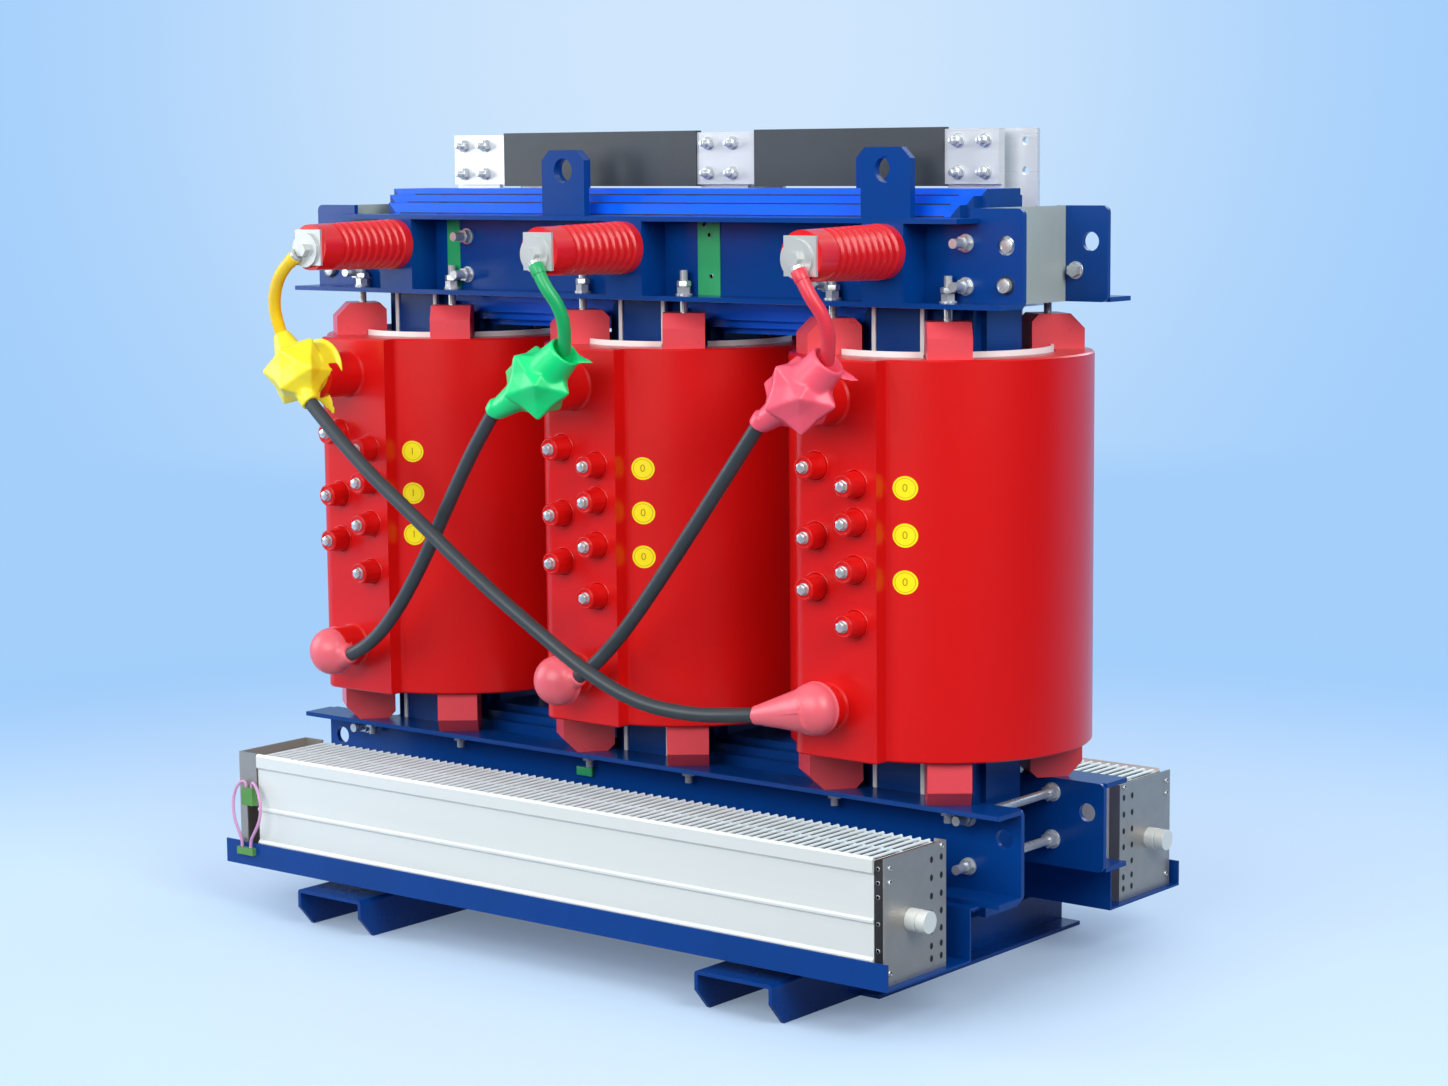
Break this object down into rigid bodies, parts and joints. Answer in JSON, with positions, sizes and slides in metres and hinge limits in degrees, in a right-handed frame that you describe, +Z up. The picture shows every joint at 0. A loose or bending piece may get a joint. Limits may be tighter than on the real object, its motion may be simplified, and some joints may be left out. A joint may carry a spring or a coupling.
{
  "type": "power transformer",
  "caption": "Dry-type three-phase power transformer with red cast-resin coils on a blue clamped core, ribbed post insulators, base beams and fans along both sides.",
  "frame": {"origin": "on the floor, under the middle of the core", "axes": "+X along the core's length to the right in front view, +Y from the high-voltage side to the low-voltage side, +Z up"},
  "size_m": [1.42, 0.803, 1.261],
  "materials": {
    "barrier_white": "satin",
    "base_dark": "gloss",
    "zinc_steel": "satin",
    "block_resin_salmon": "gloss",
    "cable_black": "satin",
    "galvanised_steel": "satin",
    "guard_white_wire": "satin",
    "fan_aluminium": "satin",
    "clamp_navy": "gloss",
    "terminal_block_green": "satin",
    "wire_pink": "satin",
    "coil_resin_red": "gloss",
    "strip_green": "satin",
    "lead_yellow": "satin",
    "lead_green": "satin",
    "lead_pink": "satin",
    "core_navy": "gloss",
    "boot_salmon": "satin",
    "lv_winding_resin": "satin",
    "bar_aluminium": "satin",
    "sleeve_black": "satin",
    "insulator_red": "gloss",
    "boot_yellow": "satin",
    "boot_green": "satin",
    "boot_pink": "satin",
    "yoke_blue": "gloss",
    "end_plate_grey": "satin"
  },
  "bodies": {
    "root": {"barrier_rings": "barrier_white", "base_beam_left": "base_dark", "base_beam_right": "base_dark", "clamp_studs_lower": "zinc_steel", "clamp_studs_upper": "zinc_steel", "coil_blocks_left": "block_resin_salmon", "coil_blocks_middle": "block_resin_salmon", "coil_blocks_right": "block_resin_salmon", "delta_cable_left": "cable_black", "delta_cable_middle": "cable_black", "delta_cable_right": "cable_black", "fan_ends_front": "galvanised_steel", "fan_ends_rear": "galvanised_steel", "fan_guard_front": "guard_white_wire", "fan_guard_rear": "guard_white_wire", "fan_housing_front": "fan_aluminium", "fan_housing_rear": "fan_aluminium", "fan_tray_front": "clamp_navy", "fan_tray_rear": "clamp_navy", "fan_wire_holders": "terminal_block_green", "fan_wire_left": "wire_pink", "fan_wire_right": "wire_pink", "hv_coil_left": "coil_resin_red", "hv_coil_middle": "coil_resin_red", "hv_coil_right": "coil_resin_red", "insulating_strips": "strip_green", "insulator_terminals": "zinc_steel", "lead_left": "lead_yellow", "lead_middle": "lead_green", "lead_right": "lead_pink", "limb_left": "core_navy", "limb_middle": "core_navy", "limb_right": "core_navy", "lower_boots": "boot_salmon", "lower_clamp_front": "clamp_navy", "lower_clamp_rear": "clamp_navy", "lower_yoke": "core_navy", "lv_coil_left": "lv_winding_resin", "lv_coil_middle": "lv_winding_resin", "lv_coil_right": "lv_winding_resin", "lv_terminal_left": "bar_aluminium", "lv_terminal_middle": "bar_aluminium", "lv_terminal_right": "bar_aluminium", "neutral_bar": "bar_aluminium", "neutral_bar_sleeves": "sleeve_black", "neutral_risers": "bar_aluminium", "post_insulator_left": "insulator_red", "post_insulator_middle": "insulator_red", "post_insulator_right": "insulator_red", "terminal_boot_left": "boot_yellow", "terminal_boot_middle": "boot_green", "terminal_boot_right": "boot_pink", "tie_bolts_upper": "zinc_steel", "tie_rods_lower": "zinc_steel", "upper_clamp_front": "clamp_navy", "upper_clamp_rear": "clamp_navy", "upper_flanges_front": "clamp_navy", "upper_flanges_rear": "clamp_navy", "upper_yoke": "yoke_blue", "yoke_end_plates": "end_plate_grey"}
  },
  "joints": []
}
